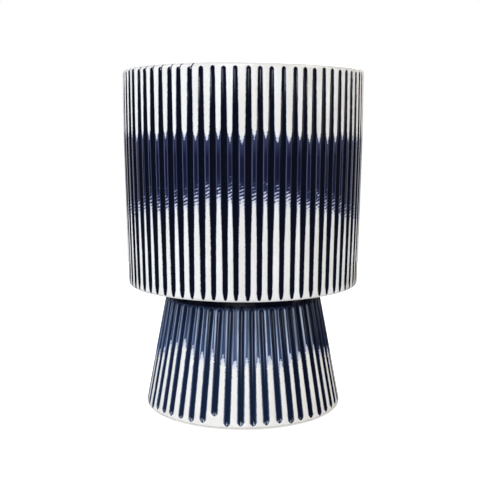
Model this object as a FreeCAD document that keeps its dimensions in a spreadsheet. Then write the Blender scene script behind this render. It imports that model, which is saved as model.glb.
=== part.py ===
"""A footed ceramic cachepot: a fluted drum luted onto a fluted, hollow conical foot.

Millimetres, +Z up, origin on the floor under the middle of the foot. The front faces -Y.
"""

import FreeCAD, Part
import os
import Sketcher
from math import atan2, hypot, pi
from types import SimpleNamespace

# Driving dimensions: alias, value and what it measures. Lengths are in millimetres.
SIZES = (
    ("overall_height", 240.0, "floor to the top of the rim"),
    ("rim_diameter", 170.0, "drum, outside at the rim"),
    ("heel_draw_in", 2.4, "how far the drum's wall has drawn in at its underside"),
    ("upright_band", 44.0, "height below the rim over which that wall stands upright"),
    ("underside_height", 89.0, "floor to the drum's underside"),
    ("drum_wall", 8.0, "thickness of the drum's wall"),
    ("drum_floor", 9.0, "thickness of the drum's floor"),
    ("rim_edge_radius", 2.5, "rounding of the rim, inside and outside"),
    ("heel_bevel", 1.5, "turned bevel between the wall and the underside, each way"),
    ("well_corner_radius", 6.0, "rounding from the inner wall to the floor"),
    ("locating_ring_height", 4.0, "ring turned on the underside, how far it drops"),
    ("locating_ring_wall", 6.0, "ring turned on the underside, its thickness"),
    ("locating_clearance", 0.5, "gap between that ring and the mouth of the foot"),
    ("flute_radius_share", 0.29, "radius of the carving tool, as a share of the drum's flute pitch"),
    ("drum_flute_count", 71, "number of flutes round the drum"),
    ("drum_flute_end_depth", 0.48, "depth of a drum flute at its two ends"),
    ("drum_flute_margin", 2.8, "plain band between the rim and the flutes"),
    ("drum_flute_rounding", 1.4, "length over which a drum flute narrows to its upper end"),
    ("drum_heel_band", 1.7, "plain band between the flutes and the underside"),
    ("drum_flute_run_out", 2.2, "length over which a drum flute narrows to its lower end"),
    ("drum_turn", 3.15, "degrees by which the drum's flutes are turned from +X"),
    ("foot_top_share", 0.639, "foot, outside at the top, as a share of the rim"),
    ("foot_base_share", 0.833, "foot, outside at the base, as a share of the rim"),
    ("foot_wall", 8.0, "thickness of the foot's wall at its top, measured level"),
    ("foot_base_wall", 14.0, "thickness of that wall at the base"),
    ("foot_bevel", 1.5, "turned bevel between the foot's wall and its base, each way"),
    ("foot_flute_count", 50, "number of flutes round the foot"),
    ("foot_flute_depth", 1.3, "depth of a foot flute"),
    ("foot_collar_height", 8.7, "plain collar above the foot's flutes"),
    ("foot_base_band", 3.8, "plain band below the foot's flutes"),
    ("foot_flute_rounding", 1.9, "length over which a foot flute narrows to each end"),
    ("foot_turn", 2.05, "degrees by which the foot's flutes are turned from +X"),
    ("seam_thickness", 1.0, "bed of joining slip between the drum and the foot"),
    ("seam_recess", 0.4, "how far the slip stays back from the foot's edge"),
    ("pad_count", 4, "number of felt pads under the foot"),
    ("pad_diameter", 9.0, "felt pad, across"),
    ("pad_thickness", 1.2, "felt pad, its thickness"),
    ("pad_bevel", 0.4, "softened lower edge of a felt pad"),
)
FULL_TURN = 360
QUARTER = pi / 2
START, END, CENTRE = range(1, 4)
ORIGIN = -1

size = SimpleNamespace(**{alias: value for alias, value, note in SIZES})

# Radii and heights that several sections share, each as a formula over the sheet and as a number.
RIM = "sizes.rim_diameter / 2"
HEEL = f"({RIM} - sizes.heel_draw_in)"
FOOT_TOP = "sizes.foot_top_share * sizes.rim_diameter / 2"
FOOT_BASE = "sizes.foot_base_share * sizes.rim_diameter / 2"
FOOT_TOP_HEIGHT = "(sizes.underside_height - sizes.seam_thickness)"
RING_OUTSIDE = f"({FOOT_TOP} - sizes.foot_wall - sizes.locating_clearance)"
TOOL = "sizes.flute_radius_share * pi * sizes.rim_diameter / sizes.drum_flute_count"

rim = size.rim_diameter / 2
foot_top = size.foot_top_share * rim
foot_base = size.foot_base_share * rim
foot_top_height = size.underside_height - size.seam_thickness
ring_outside = foot_top - size.foot_wall - size.locating_clearance
tool = size.flute_radius_share * pi * size.rim_diameter / size.drum_flute_count


def make_sheet(doc):
    """Writes the driving dimensions into a spreadsheet, one aliased cell for each."""
    sheet = doc.addObject("Spreadsheet::Sheet", "sizes")
    for row, (alias, value, note) in enumerate(SIZES, start=1):
        sheet.set(f"A{row}", alias)
        sheet.set(f"B{row}", str(value))
        sheet.setAlias(f"B{row}", alias)
        sheet.set(f"C{row}", note)
    doc.recompute()
    return sheet


def origin_feature(body, role):
    """Finds one of a body's own base planes or axes."""
    return next(feature for feature in body.Origin.OriginFeatures if feature.Role == role)


def new_body(doc, label):
    """Starts a sub-part; its label names its file."""
    body = doc.addObject("PartDesign::Body", label)
    body.Label = label
    return body


def new_sketch(body, name, role="XZ_Plane"):
    """Starts a sketch on one of the body's base planes."""
    sketch = body.newObject("Sketcher::SketchObject", name)
    sketch.AttachmentSupport = (origin_feature(body, role), [""])
    sketch.MapMode = "FlatFace"
    return sketch


def flat(point):
    """Turns a pair into a point of the sketch plane."""
    return FreeCAD.Vector(point[0], point[1], 0)


def line(sketch, start, end, construction=False):
    """Draws a straight line and returns its index."""
    return sketch.addGeometry(Part.LineSegment(flat(start), flat(end)), construction)


def arc(sketch, centre, radius, first, last):
    """Draws an arc, turning left from the first angle to the last, and returns its index."""
    circle = Part.Circle(flat(centre), FreeCAD.Vector(0, 0, 1), radius)
    return sketch.addGeometry(Part.ArcOfCircle(circle, first, last))


def constrain(sketch, kind, *where):
    """Adds a constraint and returns its index."""
    return sketch.addConstraint(Sketcher.Constraint(kind, *where))


def bind(sketch, formula, kind, *where):
    """Adds a dimension and ties it to the sheet."""
    sketch.setExpression(f"Constraints[{constrain(sketch, kind, *where)}]", formula)


def at_radius(sketch, edge, end, formula):
    """Sets how far a point lies from the axis of the pot."""
    bind(sketch, formula, "DistanceX", ORIGIN, START, edge, end, sketch.getPoint(edge, end).x)


def at_height(sketch, edge, end, formula):
    """Sets how far a point lies above the floor."""
    bind(sketch, formula, "DistanceY", ORIGIN, START, edge, end, sketch.getPoint(edge, end).y)


def set_radius(sketch, edge, formula):
    """Sets the radius of an arc or a circle."""
    bind(sketch, formula, "Radius", edge, sketch.Geometry[edge].Radius)


def join(sketch, *pairs):
    """Joins the ends of edges, corner to corner."""
    for first, first_end, second, second_end in pairs:
        constrain(sketch, "Coincident", first, first_end, second, second_end)


def blend(sketch, *pairs):
    """Joins the ends of edges so that one runs smoothly into the next."""
    for first, first_end, second, second_end in pairs:
        constrain(sketch, "Tangent", first, first_end, second, second_end)


def make_level(sketch, *edges):
    """Makes lines level."""
    for edge in edges:
        constrain(sketch, "Horizontal", edge)


def make_upright(sketch, *edges):
    """Makes lines upright."""
    for edge in edges:
        constrain(sketch, "Vertical", edge)


def rounding_centre(point, run, height, radius):
    """Middle of the arc that rounds a leaning wall into a level face below it.

    The wall goes through the point and leans along the run; the arc lies on the wall's inner side.
    """
    low = (height + radius - point[1]) / run.y
    return flat((point[0] + run.x * low - radius / run.y, height + radius))


def turn(body, sketch, name):
    """Turns a section once round the axis of the pot."""
    solid = body.newObject("PartDesign::Revolution", name)
    solid.Profile = sketch
    solid.ReferenceAxis = (sketch, ["V_Axis"])
    solid.Angle = FULL_TURN
    sketch.Visibility = False
    return solid


def carve_flutes(blank, name, upper, lower, depth, upper_end, lower_end, count):
    """Carves one straight flute with a tool that tapers to both ends, and repeats it round the pot.

    upper and lower are the ends of the line that the bottom of the flute keeps its depth from, each as
    a point and its two formulas; the depth is the name of a size. upper_end and lower_end say where the
    flute ends: a height, its formula, and the name of the size that gives the length over which the
    flute narrows to that end. The tool's taper goes on past it, clear of the wall.
    """
    (top, top_radius, top_height), (bottom, bottom_radius, bottom_height) = upper, lower
    (high_end, high_formula, high_run), (low_end, low_formula, low_run) = upper_end, lower_end
    body = blank.getParentGeoFeatureGroup()
    sketch = new_sketch(body, f"{name}_section")
    deep = getattr(size, depth)
    clear = tool - deep
    high_taper = getattr(size, high_run) / deep
    low_taper = getattr(size, low_run) / deep
    run = FreeCAD.Vector(top[0] - bottom[0], top[1] - bottom[1], 0).normalize()
    out = FreeCAD.Vector(run.y, -run.x, 0)
    start = flat(bottom) + out * clear
    high = start + run * ((high_end + high_taper * clear - start.y) / run.y)
    low = start + run * ((low_end - low_taper * clear - start.y) / run.y)
    high_side = high - run * high_taper * tool + out * tool
    low_side = low + run * low_taper * tool + out * tool
    clearance = f"({TOOL} - sizes.{depth})"

    guide = line(sketch, bottom, top, construction=True)
    axis = line(sketch, low, high, construction=True)
    spine = line(sketch, high, low)
    low_nose = line(sketch, low, low_side)
    side = line(sketch, low_side, high_side)
    high_nose = line(sketch, high_side, high)

    at_radius(sketch, guide, START, bottom_radius)
    at_height(sketch, guide, START, bottom_height)
    at_radius(sketch, guide, END, top_radius)
    at_height(sketch, guide, END, top_height)
    constrain(sketch, "Parallel", axis, guide)
    bind(sketch, clearance, "Distance", axis, START, guide, clear)
    at_height(sketch, axis, END, f"{high_formula} + sizes.{high_run} / sizes.{depth} * {clearance}")
    at_height(sketch, axis, START, f"{low_formula} - sizes.{low_run} / sizes.{depth} * {clearance}")
    join(
        sketch,
        (axis, START, spine, END),
        (axis, END, spine, START),
        (spine, END, low_nose, START),
        (low_nose, END, side, START),
        (side, END, high_nose, START),
        (high_nose, END, spine, START),
    )
    constrain(sketch, "Parallel", side, axis)
    bind(sketch, TOOL, "Distance", side, START, axis, tool)
    for nose, taper, length in ((high_nose, high_taper, high_run), (low_nose, low_taper, low_run)):
        flank = f"{TOOL} * sqrt(1 + (sizes.{length} / sizes.{depth}) ^ 2)"
        bind(sketch, flank, "Distance", nose, START, nose, END, tool * hypot(1, taper))

    flute = body.newObject("PartDesign::Groove", name)
    flute.Profile = sketch
    flute.ReferenceAxis = (sketch, ["Axis1"])
    flute.Angle = FULL_TURN
    sketch.Visibility = False

    ring = body.newObject("PartDesign::PolarPattern", f"{name}_ring")
    ring.Originals = [flute]
    ring.Axis = (origin_feature(body, "Z_Axis"), [""])
    ring.Angle = FULL_TURN
    ring.setExpression("Occurrences", f"sizes.{count}")
    body.Tip = ring
    body.Document.recompute()
    one_flute = len(flute.Shape.Faces) - len(blank.Shape.Faces)
    all_flutes = len(ring.Shape.Faces) - len(blank.Shape.Faces)
    if all_flutes != one_flute * getattr(size, count):
        raise RuntimeError(f"{name}_ring lacks flutes or runs them into each other")


def make_drum(doc):
    """The pot itself: a wall that stands upright below the rim and then tapers to the heel, and a floor."""
    body = new_body(doc, "drum")
    sketch = new_sketch(body, "drum_section")
    under = size.underside_height
    floor = under + size.drum_floor
    top = size.overall_height
    bend = top - size.upright_band
    edge = size.rim_edge_radius
    bevel_top = under + size.heel_bevel
    corner = size.well_corner_radius
    ring_inside = ring_outside - size.locating_ring_wall
    ring_foot = under - size.locating_ring_height
    inside = rim - size.drum_wall
    run = FreeCAD.Vector(size.heel_draw_in, bend - under, 0).normalize()
    out = FreeCAD.Vector(run.y, -run.x, 0)
    tilt = atan2(out.y, out.x)
    heel = rim - size.heel_draw_in
    bevel_x = heel + size.heel_bevel * run.x / run.y
    corner_centre = rounding_centre((inside, bend), run, floor, corner)

    under_disc = line(sketch, (0, under), (ring_inside, under))
    ring_in = line(sketch, (ring_inside, under), (ring_inside, ring_foot))
    ring_base = line(sketch, (ring_inside, ring_foot), (ring_outside, ring_foot))
    ring_out = line(sketch, (ring_outside, ring_foot), (ring_outside, under))
    under_rim = line(sketch, (ring_outside, under), (heel - size.heel_bevel, under))
    bevel = line(sketch, (heel - size.heel_bevel, under), (bevel_x, bevel_top))
    taper = line(sketch, (bevel_x, bevel_top), (rim, bend))
    upright = line(sketch, (rim, bend), (rim, top - edge))
    rim_out = arc(sketch, (rim - edge, top - edge), edge, 0, QUARTER)
    rim_top = line(sketch, (rim - edge, top), (inside + edge, top))
    rim_in = arc(sketch, (inside + edge, top - edge), edge, QUARTER, 2 * QUARTER)
    inner_upright = line(sketch, (inside, top - edge), (inside, bend))
    inner_taper = line(sketch, (inside, bend), corner_centre + out * corner)
    corner_arc = arc(sketch, corner_centre, corner, -QUARTER, tilt)
    floor_top = line(sketch, (corner_centre.x, floor), (0, floor))
    core = line(sketch, (0, floor), (0, under))
    guide = line(sketch, (heel, under), (rim, bend), construction=True)

    join(
        sketch,
        (under_disc, END, ring_in, START),
        (ring_in, END, ring_base, START),
        (ring_base, END, ring_out, START),
        (ring_out, END, under_rim, START),
        (under_rim, END, bevel, START),
        (bevel, END, taper, START),
        (taper, END, upright, START),
        (inner_upright, END, inner_taper, START),
        (floor_top, END, core, START),
        (core, END, under_disc, START),
        (guide, END, taper, END),
    )
    blend(
        sketch,
        (upright, END, rim_out, START),
        (rim_out, END, rim_top, START),
        (rim_top, END, rim_in, START),
        (rim_in, END, inner_upright, START),
        (inner_taper, END, corner_arc, END),
        (corner_arc, START, floor_top, START),
    )
    make_level(sketch, under_disc, ring_base, under_rim, rim_top, floor_top)
    make_upright(sketch, ring_in, ring_out, upright, inner_upright, core)
    constrain(sketch, "Vertical", core, START, ORIGIN, START)
    constrain(sketch, "Horizontal", under_disc, END, under_rim, START)
    constrain(sketch, "PointOnObject", taper, START, guide)
    constrain(sketch, "Parallel", inner_taper, guide)
    constrain(sketch, "Horizontal", upright, START, inner_upright, END)
    constrain(sketch, "Equal", rim_out, rim_in)
    at_height(sketch, under_disc, END, "sizes.underside_height")
    at_height(sketch, ring_base, START, "sizes.underside_height - sizes.locating_ring_height")
    at_height(sketch, floor_top, START, "sizes.underside_height + sizes.drum_floor")
    at_height(sketch, rim_top, START, "sizes.overall_height")
    at_height(sketch, upright, START, "sizes.overall_height - sizes.upright_band")
    at_radius(sketch, ring_in, END, f"{RING_OUTSIDE} - sizes.locating_ring_wall")
    at_radius(sketch, ring_out, START, RING_OUTSIDE)
    at_radius(sketch, upright, START, RIM)
    at_radius(sketch, inner_upright, END, f"{RIM} - sizes.drum_wall")
    at_radius(sketch, guide, START, HEEL)
    at_height(sketch, guide, START, "sizes.underside_height")
    at_radius(sketch, bevel, START, f"{HEEL} - sizes.heel_bevel")
    at_height(sketch, bevel, END, "sizes.underside_height + sizes.heel_bevel")
    set_radius(sketch, rim_out, "sizes.rim_edge_radius")
    set_radius(sketch, corner_arc, "sizes.well_corner_radius")

    carve_flutes(
        turn(body, sketch, "drum_blank"),
        "drum_flute",
        ((rim, top - edge), RIM, "sizes.overall_height - sizes.rim_edge_radius"),
        ((heel, under), HEEL, "sizes.underside_height"),
        "drum_flute_end_depth",
        (
            top - size.drum_flute_margin,
            "sizes.overall_height - sizes.drum_flute_margin",
            "drum_flute_rounding",
        ),
        (
            under + size.drum_heel_band,
            "sizes.underside_height + sizes.drum_heel_band",
            "drum_flute_run_out",
        ),
        "drum_flute_count",
    )
    body.setExpression("Placement.Rotation.Angle", "sizes.drum_turn")
    return body


def make_foot(doc):
    """The pedestal: a hollow cone, open below, whose wall grows thicker towards the base."""
    body = new_body(doc, "foot")
    sketch = new_sketch(body, "foot_section")
    base = size.pad_thickness
    top = foot_top_height
    bevel_top = base + size.foot_bevel
    mouth = foot_base - size.foot_base_wall
    slope = (foot_top - foot_base) / (top - base)
    bevel_x = foot_base + size.foot_bevel * slope

    guide = line(sketch, (foot_base, base), (foot_top, top), construction=True)
    land = line(sketch, (mouth, base), (foot_base - size.foot_bevel, base))
    bevel = line(sketch, (foot_base - size.foot_bevel, base), (bevel_x, bevel_top))
    outside = line(sketch, (bevel_x, bevel_top), (foot_top, top))
    bed = line(sketch, (foot_top, top), (foot_top - size.foot_wall, top))
    inside = line(sketch, (foot_top - size.foot_wall, top), (mouth, base))

    join(
        sketch,
        (guide, END, outside, END),
        (outside, END, bed, START),
        (bed, END, inside, START),
        (inside, END, land, START),
        (land, END, bevel, START),
        (bevel, END, outside, START),
    )
    constrain(sketch, "PointOnObject", outside, START, guide)
    make_level(sketch, land, bed)
    at_radius(sketch, guide, START, FOOT_BASE)
    at_height(sketch, guide, START, "sizes.pad_thickness")
    at_radius(sketch, guide, END, FOOT_TOP)
    at_height(sketch, guide, END, FOOT_TOP_HEIGHT)
    at_radius(sketch, bed, END, f"{FOOT_TOP} - sizes.foot_wall")
    at_radius(sketch, land, START, f"{FOOT_BASE} - sizes.foot_base_wall")
    at_height(sketch, land, START, "sizes.pad_thickness")
    at_radius(sketch, bevel, START, f"{FOOT_BASE} - sizes.foot_bevel")
    at_height(sketch, bevel, END, "sizes.pad_thickness + sizes.foot_bevel")

    carve_flutes(
        turn(body, sketch, "foot_blank"),
        "foot_flute",
        ((foot_top, top), FOOT_TOP, FOOT_TOP_HEIGHT),
        ((foot_base, base), FOOT_BASE, "sizes.pad_thickness"),
        "foot_flute_depth",
        (
            top - size.foot_collar_height,
            f"{FOOT_TOP_HEIGHT} - sizes.foot_collar_height",
            "foot_flute_rounding",
        ),
        (
            base + size.foot_base_band,
            "sizes.pad_thickness + sizes.foot_base_band",
            "foot_flute_rounding",
        ),
        "foot_flute_count",
    )
    body.setExpression("Placement.Rotation.Angle", "sizes.foot_turn")
    return body


def make_seam(doc):
    """The ring of joining slip, squeezed between the foot's bed and the drum's underside."""
    body = new_body(doc, "slip_seam")
    sketch = new_sketch(body, "seam_section")
    low = foot_top_height
    high = size.underside_height
    outside = foot_top - size.seam_recess

    under = line(sketch, (ring_outside, low), (outside, low))
    front = line(sketch, (outside, low), (outside, high))
    over = line(sketch, (outside, high), (ring_outside, high))
    back = line(sketch, (ring_outside, high), (ring_outside, low))

    join(
        sketch,
        (under, END, front, START),
        (front, END, over, START),
        (over, END, back, START),
        (back, END, under, START),
    )
    make_level(sketch, under, over)
    make_upright(sketch, front, back)
    at_radius(sketch, back, START, RING_OUTSIDE)
    at_height(sketch, back, START, "sizes.underside_height")
    at_height(sketch, back, END, FOOT_TOP_HEIGHT)
    at_radius(sketch, front, START, f"{FOOT_TOP} - sizes.seam_recess")
    turn(body, sketch, "seam_ring")
    return body


def make_pad(doc, index):
    """One felt pad, stuck under the base of the foot, with a softened lower edge."""
    body = new_body(doc, f"felt_pad_{index + 1}")
    sketch = new_sketch(body, f"pad_outline_{index + 1}", "XY_Plane")
    outline = Part.Circle(flat((0, 0)), FreeCAD.Vector(0, 0, 1), size.pad_diameter / 2)
    disc = sketch.addGeometry(outline)
    join(sketch, (disc, CENTRE, ORIGIN, START))
    set_radius(sketch, disc, "sizes.pad_diameter / 2")

    pad = body.newObject("PartDesign::Pad", f"pad_disc_{index + 1}")
    pad.Profile = sketch
    pad.setExpression("Length", "sizes.pad_thickness")
    sketch.Visibility = False
    doc.recompute()
    lowest = min(range(len(pad.Shape.Edges)), key=lambda edge: pad.Shape.Edges[edge].BoundBox.ZMax)
    soft = body.newObject("PartDesign::Chamfer", f"pad_edge_{index + 1}")
    soft.Base = (pad, [f"Edge{lowest + 1}"])
    soft.setExpression("Size", "sizes.pad_bevel")

    reach = f"({FOOT_BASE} - (sizes.foot_base_wall + sizes.foot_bevel) / 2)"
    bearing = f"({index} + 0.5) * {FULL_TURN} deg / sizes.pad_count"
    body.setExpression("Placement.Base.x", f"{reach} * cos({bearing})")
    body.setExpression("Placement.Base.y", f"{reach} * sin({bearing})")
    return body


def check(doc, bodies):
    """Stops the build where a feature has failed or a sub-part is empty or broken."""
    for item in doc.Objects:
        if {"Invalid", "Error"} & set(item.State):
            raise RuntimeError(f"{item.Name} did not compute")
    for body in bodies:
        if body.Shape.isNull() or not body.Shape.isValid() or len(body.Shape.Solids) != 1:
            raise RuntimeError(f"{body.Label} is not one sound solid")


doc = FreeCAD.newDocument("cachepot")
make_sheet(doc)
bodies = [make_drum(doc), make_foot(doc), make_seam(doc)]
bodies += [make_pad(doc, index) for index in range(size.pad_count)]
doc.recompute()
check(doc, bodies)

os.makedirs("parts", exist_ok=True)
for body in bodies:
    body.Shape.exportStep(f"parts/{body.Label}.step")
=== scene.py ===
"""Looks of a footed, fluted ceramic cachepot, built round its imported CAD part.

The drum and the foot are numpy surfaces that stand where the CAD solids are, with flutes carved by
hand and two glazes; the joining slip and the felt pads keep their CAD shapes. Sizes are in metres, and
those of the materials' patterns in millimetres.
"""

from functools import partial
from math import pi, radians

import bpy
import numpy as np
from bpy.props import FloatProperty, FloatVectorProperty, IntProperty, PointerProperty
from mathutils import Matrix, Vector


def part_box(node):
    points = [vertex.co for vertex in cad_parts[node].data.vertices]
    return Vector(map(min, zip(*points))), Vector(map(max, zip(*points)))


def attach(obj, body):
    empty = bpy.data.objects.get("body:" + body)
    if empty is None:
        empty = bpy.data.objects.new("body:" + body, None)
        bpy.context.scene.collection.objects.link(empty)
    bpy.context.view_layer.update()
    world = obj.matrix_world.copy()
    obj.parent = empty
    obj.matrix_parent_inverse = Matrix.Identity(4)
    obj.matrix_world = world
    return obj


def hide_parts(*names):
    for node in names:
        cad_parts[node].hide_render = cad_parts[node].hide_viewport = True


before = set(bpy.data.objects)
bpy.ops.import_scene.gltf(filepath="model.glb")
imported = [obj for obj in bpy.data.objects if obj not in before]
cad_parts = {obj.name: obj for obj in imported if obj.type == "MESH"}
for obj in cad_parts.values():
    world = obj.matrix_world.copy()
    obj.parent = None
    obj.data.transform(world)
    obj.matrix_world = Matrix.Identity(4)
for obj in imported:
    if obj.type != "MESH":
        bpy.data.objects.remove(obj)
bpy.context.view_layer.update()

bl_info = {
    "name": "Fluted cachepot",
    "version": (1, 0, 0),
    "blender": (4, 5, 0),
    "location": "View3D > Sidebar > Cachepot",
    "description": "Builds the glazed drum and foot of a fluted cachepot on its CAD frame",
    "category": "Object",
}

DRUM_LOW, DRUM_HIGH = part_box("drum")
FOOT_LOW, FOOT_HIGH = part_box("foot")
SEAM_LOW, SEAM_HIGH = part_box("slip_seam")
PADS = sorted(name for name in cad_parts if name.startswith("felt_pad"))
BODY = "root"

MM_PER_METRE = 1000.0
FRONT = -pi / 2
SEED_DRUM = 71
SEED_FOOT = 50
CREASE = radians(50)

# The smallest ring round a middle point, half of a ridge's width, and how far outside a flute the plain
# surfaces count as lying.
POLE_RING = 0.012
RIDGE_HALF = 0.0019
PLAIN = 0.004
FLOOR_SIDES = 96

# Patterns of the glazes, in mm, and how strongly the glaze bends light.
WOBBLE_SIZE = 3.0
PINHOLE_SIZE = 0.9
SPECK_GAP = 14.0
GLAZE_IOR = 1.5


def linear(code):
    """Turns an sRGB hex colour into linear red, green, blue and alpha."""
    parts = np.array([int(code[i : i + 2], 16) for i in (1, 3, 5)]) / 255
    light = np.where(parts <= 0.04045, parts / 12.92, ((parts + 0.055) / 1.055) ** 2.4)
    return (*light.tolist(), 1.0)


def length(name, description, default):
    """Declares a size in metres."""
    return FloatProperty(
        name=name, description=description, default=default, precision=5, unit="LENGTH", subtype="DISTANCE"
    )


def turn(name, description, default):
    """Declares an angle."""
    return FloatProperty(
        name=name, description=description, default=default, unit="ROTATION", subtype="ANGLE"
    )


def share(name, description, default):
    """Declares a plain share."""
    return FloatProperty(name=name, description=description, default=default, subtype="FACTOR", min=0, max=1)


def power(name, description, default):
    """Declares a lamp's power in watts."""
    return FloatProperty(name=name, description=description, default=default, unit="POWER", min=0)


def paint(name, description, code):
    """Declares a colour, given as an sRGB hex value."""
    return FloatVectorProperty(
        name=name, description=description, default=linear(code), size=4, min=0, max=1, subtype="COLOR"
    )


class CachepotDrumSizes(bpy.types.PropertyGroup):
    """Sizes of the drum and its flutes."""

    rim_radius: length("Rim radius", "Outside of the drum at its rim", DRUM_HIGH.x)
    rim_height: length("Rim height", "Floor to the top of the rim", DRUM_HIGH.z)
    underside: length("Underside", "Floor to the drum's underside", SEAM_HIGH.z)
    ring_foot: length("Ring foot", "Floor to the foot of the locating ring", DRUM_LOW.z)
    ring_outside: length("Ring outside", "Outer radius of the locating ring", 0.04582)
    ring_wall: length("Ring wall", "Thickness of the locating ring", 0.006)
    ring_edge: length("Ring edge", "Bevel of the locating ring", 0.0007)
    draw_in: length("Draw-in", "How far the wall has drawn in at the underside", 0.0024)
    upright_band: length("Upright band", "Height below the rim over which the wall is upright", 0.044)
    bend_softness: length("Bend softness", "Height over which the upright wall turns into the taper", 0.009)
    wall: length("Wall", "Thickness of the wall", 0.008)
    floor: length("Floor", "Thickness of the floor", 0.009)
    rim_edge: length("Rim edge", "Rounding of the rim", 0.0025)
    heel_edge: length("Heel edge", "Rounding of the heel", 0.0021)
    well_corner: length("Well corner", "Rounding between the inner wall and the floor", 0.006)
    flutes: IntProperty(name="Flutes", description="Number of flutes round the drum", default=71, min=3)
    flute_turn: turn("Flute turn", "Where the first flute is, from +X", radians(3.15))
    unevenness: share("Unevenness", "Part of the pitch by which a flute may be out of its place", 0.045)
    tool_radius: length("Tool radius", "Round nose of the carving tool", 0.00218)
    flute_depth: length("Flute depth", "Depth of a flute at its ends", 0.00048)
    flute_margin: length("Flute margin", "Plain band between the rim and the flutes", 0.0022)
    flute_rounding: length("Flute rounding", "Length over which a flute narrows to its upper end", 0.0014)
    heel_band: length("Heel band", "Plain band between the flutes and the underside", 0.0017)
    flute_run_out: length("Flute run-out", "Length over which a flute narrows to its lower end", 0.0045)
    flute_sink: length("Flute sink", "How much deeper a flute lies at the heel", 0.0003)
    ridge_softness: length("Ridge softness", "How softly the glaze rounds the edges of the ridges", 0.00022)
    ridge_crown: length("Ridge crown", "How much the ridges swell towards their middle", 0.00012)


class CachepotFootSizes(bpy.types.PropertyGroup):
    """Sizes of the foot and its flutes."""

    top_height: length("Top height", "Floor to the bed of the joining slip", FOOT_HIGH.z)
    base_height: length("Base height", "Floor to the base of the foot", FOOT_LOW.z)
    top_radius: length("Top radius", "Outside of the foot at its top", 0.05431)
    base_radius: length("Base radius", "Outside of the foot where its wall would meet the base", 0.07081)
    wall: length("Wall", "Thickness of the wall at its top, measured level", 0.008)
    base_wall: length("Base wall", "Thickness of the wall at its base", 0.014)
    base_edge: length("Base edge", "Rounding of the base's outer edge", 0.0016)
    flutes: IntProperty(name="Flutes", description="Number of flutes round the foot", default=50, min=3)
    flute_turn: turn("Flute turn", "Where the first flute is, from +X", radians(2.05))
    unevenness: share("Unevenness", "Part of the pitch by which a flute may be out of its place", 0.06)
    tool_radius: length("Tool radius", "Round nose of the carving tool", 0.00218)
    flute_depth: length("Flute depth", "Depth of a flute", 0.0013)
    flute_rounding: length("Flute rounding", "Length over which a flute narrows to each end", 0.0019)
    collar: length("Collar", "Plain collar above the flutes", 0.0079)
    base_band: length("Base band", "Plain band below the flutes", 0.0019)
    ridge_softness: length("Ridge softness", "How softly the glaze rounds the edges of the ridges", 0.0003)
    ridge_crown: length("Ridge crown", "How much the ridges swell towards their middle", 0.00035)
    short_flute: turn("Short flute", "Bearing from the front of the one flute that stops short", radians(-16))
    short_by: length("Short by", "How much higher than the others that flute ends", 0.006)


class CachepotGlazeLook(bpy.types.PropertyGroup):
    """Colours of the glazes and the heights at which they meet."""

    white: paint("White glaze", "Opaque white glaze on the ridges", "#f4f2ee")
    cream: paint("Thin white glaze", "The same glaze where it runs thin", "#e6e1d8")
    rim: paint("Rim glaze", "White glaze that has run thin over the rim's edge", "#d6d1c9")
    navy: paint("Navy glaze", "Navy glaze over the ridges", "#13172f")
    # Also painted shade: the foot's collar under the drum and its right side take this darker navy.
    ink_and_shade: paint("Pooled navy glaze", "Navy glaze where it pools in the flutes", "#080b19")
    # Partly a painted highlight: the thin blue along the drum's ridge edges, strongest on their left flanks.
    navy_break_and_highlight: paint("Thin navy glaze", "Navy glaze where it breaks over the edges of the ridges", "#535a7c")
    foot_navy: paint("Foot navy", "Navy glaze over the ridges of the foot", "#212e49")
    # Partly a painted highlight: the steel blue on the edges of the foot's ridges.
    steel_and_highlight: paint("Thin foot navy", "That glaze where it breaks over the edges of the ridges", "#6b7fa8")
    # A painted highlight: pale lines along the foot's ridges.
    foot_highlight: paint("Worn foot navy", "That glaze where it is worn to lines along the ridges", "#d6e3f7")
    foot_ink: paint("Pooled foot navy", "That glaze where it pools in the flutes", "#152036")
    speck: paint("Iron speck", "Specks of iron in the clay", "#4a3326")
    violet: paint("Violet bloom", "Navy glaze where the white beside it tints it", "#3c4264")
    haze: paint("White haze", "White glaze so thin that the navy shows through it", "#9ca8cb")
    shade: paint("Worn edge", "White glaze that lets the navy through", "#a5adca")
    clay: paint("Bare stoneware", "Unglazed clay under the foot", "#cdbfa8")
    clay_dark: paint("Clay grain", "Darker grains in that clay", "#a8977d")
    felt: paint("Felt", "Grey wool felt of the pads", "#5d5a57")
    felt_pale: paint("Pale fibre", "Lighter fibres in the felt", "#8d8984")
    band_top: length("Band top", "Height at which the white gives way to the navy band", 0.1911)
    band_low: length("Band foot", "Height at which the white comes back below that band", 0.1555)
    fade: length("Fade", "Height on the foot at which the navy gives way to white", 0.0452)
    paper: paint("Studio paper", "White paper of the floor", "#ececec")
    paper_dim: paint("Mirrored paper", "That paper as the glaze mirrors it", "#3a3a3a")
    paper_lift: share("Paper lift", "Light that the camera sees added to the paper", 0.7)
    cool_light: paint("Cool light", "Tint of the lamps on the left, overhead, in front and behind", "#f0f6ff")
    warm_light: paint("Warm light", "Tint of the lamps on the right", "#fff8ee")


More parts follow.
